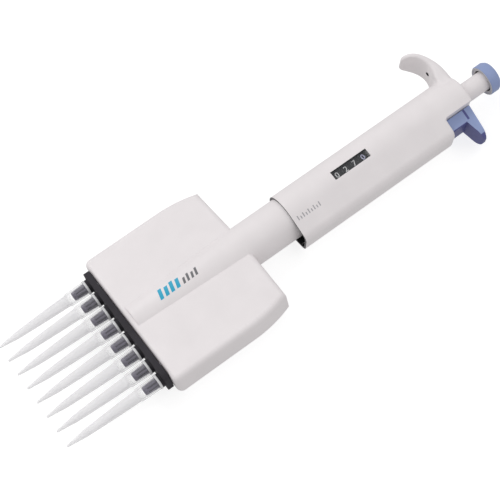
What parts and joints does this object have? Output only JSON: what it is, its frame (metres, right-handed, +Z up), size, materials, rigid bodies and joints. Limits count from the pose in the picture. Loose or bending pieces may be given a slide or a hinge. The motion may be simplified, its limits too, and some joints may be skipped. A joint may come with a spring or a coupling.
{
  "type": "adjustable multichannel micropipette",
  "caption": "Hand-held adjustable multichannel micropipette: swivelling flat head with a row of tips, barrel handle with volume window, finger hook, plunger knob and ejector.",
  "frame": {"origin": "middle of the bounding box on the surface the pipette lies on", "axes": "+X along the long axis from the tip ends to the plunger cap, +Y towards the finger hook, +Z up, out of the head's front face and the display side"},
  "size_m": [0.2724, 0.0802, 0.0283],
  "materials": {
    "housing": "satin moulded polypropylene",
    "blue": "satin moulded",
    "bar": "fine matt",
    "cone": "satin moulded",
    "tip": "thin translucent polypropylene",
    "lens": "clear",
    "wheel": "matt with printed digits",
    "inner": "matt",
    "steel": "turned",
    "spring": "drawn wire",
    "seal": "soft"
  },
  "bodies": {
    "handle": {"handle_front_shell": "housing", "handle_rear_shell": "housing", "finger_hook": "housing", "hook_screw": "steel", "window_lens": "lens", "counter_carrier": "inner", "transfer_pinions": "inner", "pinion_axle": "steel", "swivel_bush": "inner", "plunger_guide": "housing", "volume_nut": "inner", "stage_plate": "inner", "blowout_spring": "spring", "primary_spring": "spring", "ejector_spring": "spring"},
    "plunger": {"plunger_rod": "steel", "plunger_collar": "steel", "coupling_clip": "inner"},
    "knob": {"plunger_sleeve": "housing", "plunger_cap": "blue", "cap_insert": "inner"},
    "volume_screw": {"volume_screw": "inner"},
    "ring_1": {"number_ring_1": "wheel"},
    "ring_2": {"number_ring_2": "wheel"},
    "ring_3": {"number_ring_3": "wheel"},
    "ring_4": {"number_ring_4": "wheel"},
    "ejector": {"ejector_button": "blue", "ejector_rod": "steel"},
    "head": {"head_front_shell": "housing", "head_rear_shell": "housing", "head_screws": "steel", "swivel_clip": "steel", "cylinder_block": "inner", "seal_retainer": "inner", "piston_seals": "seal", "tip_cone_1": "cone", "tip_cone_2": "cone", "tip_cone_3": "cone", "tip_cone_4": "cone", "tip_cone_5": "cone", "tip_cone_6": "cone", "tip_cone_7": "cone", "tip_cone_8": "cone"},
    "pistons": {"piston_plate": "inner", "piston_shaft": "steel", "pistons": "steel"},
    "ejector_bar": {"ejector_bar": "bar", "ejector_guide_rods": "steel", "ejector_yoke": "inner"},
    "tips": {"tip_1": "tip", "tip_2": "tip", "tip_3": "tip", "tip_4": "tip", "tip_5": "tip", "tip_6": "tip", "tip_7": "tip", "tip_8": "tip"}
  },
  "joints": [
    {"name": "plunger_press", "type": "slide", "parent": "handle", "child": "plunger", "axis": [-1, 0, 0], "range_m": [0, 0.0125], "stiffness_N_per_m": 250, "springref_m": -0.008, "deforming": ["primary_spring", "blowout_spring"]},
    {"name": "volume_turn", "type": "hinge", "parent": "plunger", "child": "knob", "pos_m": [0, 0, 0.0124], "axis": [1, 0, 0], "range_deg": [-1584, 216]},
    {"name": "screw_turn", "type": "hinge", "parent": "handle", "child": "volume_screw", "pos_m": [0, 0, 0.0124], "axis": [1, 0, 0], "range_deg": [-1584, 216]},
    {"name": "ring_1_turn", "type": "hinge", "parent": "handle", "child": "ring_1", "pos_m": [0, 0, 0.0124], "axis": [1, 0, 0], "range_deg": [-7.92, 1.08]},
    {"name": "ring_2_turn", "type": "hinge", "parent": "handle", "child": "ring_2", "pos_m": [0, 0, 0.0124], "axis": [1, 0, 0], "range_deg": [-79.2, 10.8]},
    {"name": "ring_3_turn", "type": "hinge", "parent": "handle", "child": "ring_3", "pos_m": [0, 0, 0.0124], "axis": [1, 0, 0], "range_deg": [-792, 108]},
    {"name": "ring_4_turn", "type": "hinge", "parent": "handle", "child": "ring_4", "pos_m": [0, 0, 0.0124], "axis": [1, 0, 0], "range_deg": [-7920, 1080]},
    {"name": "ejector_press", "type": "slide", "parent": "handle", "child": "ejector", "axis": [-1, 0, 0], "range_m": [0, 0.005], "stiffness_N_per_m": 300, "springref_m": -0.006, "deforming": ["ejector_spring"]},
    {"name": "head_swivel", "type": "hinge", "parent": "handle", "child": "head", "pos_m": [0, 0, 0.0124], "axis": [1, 0, 0], "continuous": true},
    {"name": "piston_stroke", "type": "slide", "parent": "head", "child": "pistons", "axis": [-1, 0, 0], "range_m": [0, 0.0125]},
    {"name": "bar_slide", "type": "slide", "parent": "head", "child": "ejector_bar", "axis": [-1, 0, 0], "range_m": [0, 0.005]},
    {"name": "tips_slide", "type": "slide", "parent": "head", "child": "tips", "axis": [-1, 0, 0], "range_m": [0, 0.005]}
  ],
  "couplings": [
    {"joint": "screw_turn", "follows": "volume_turn", "ratio": 1},
    {"joint": "ring_1_turn", "follows": "volume_turn", "ratio": 0.005},
    {"joint": "ring_2_turn", "follows": "volume_turn", "ratio": 0.05},
    {"joint": "ring_3_turn", "follows": "volume_turn", "ratio": 0.5},
    {"joint": "ring_4_turn", "follows": "volume_turn", "ratio": 5},
    {"joint": "piston_stroke", "follows": "plunger_press", "ratio": 1},
    {"joint": "bar_slide", "follows": "ejector_press", "ratio": 1},
    {"joint": "tips_slide", "follows": "ejector_press", "ratio": 1}
  ]
}
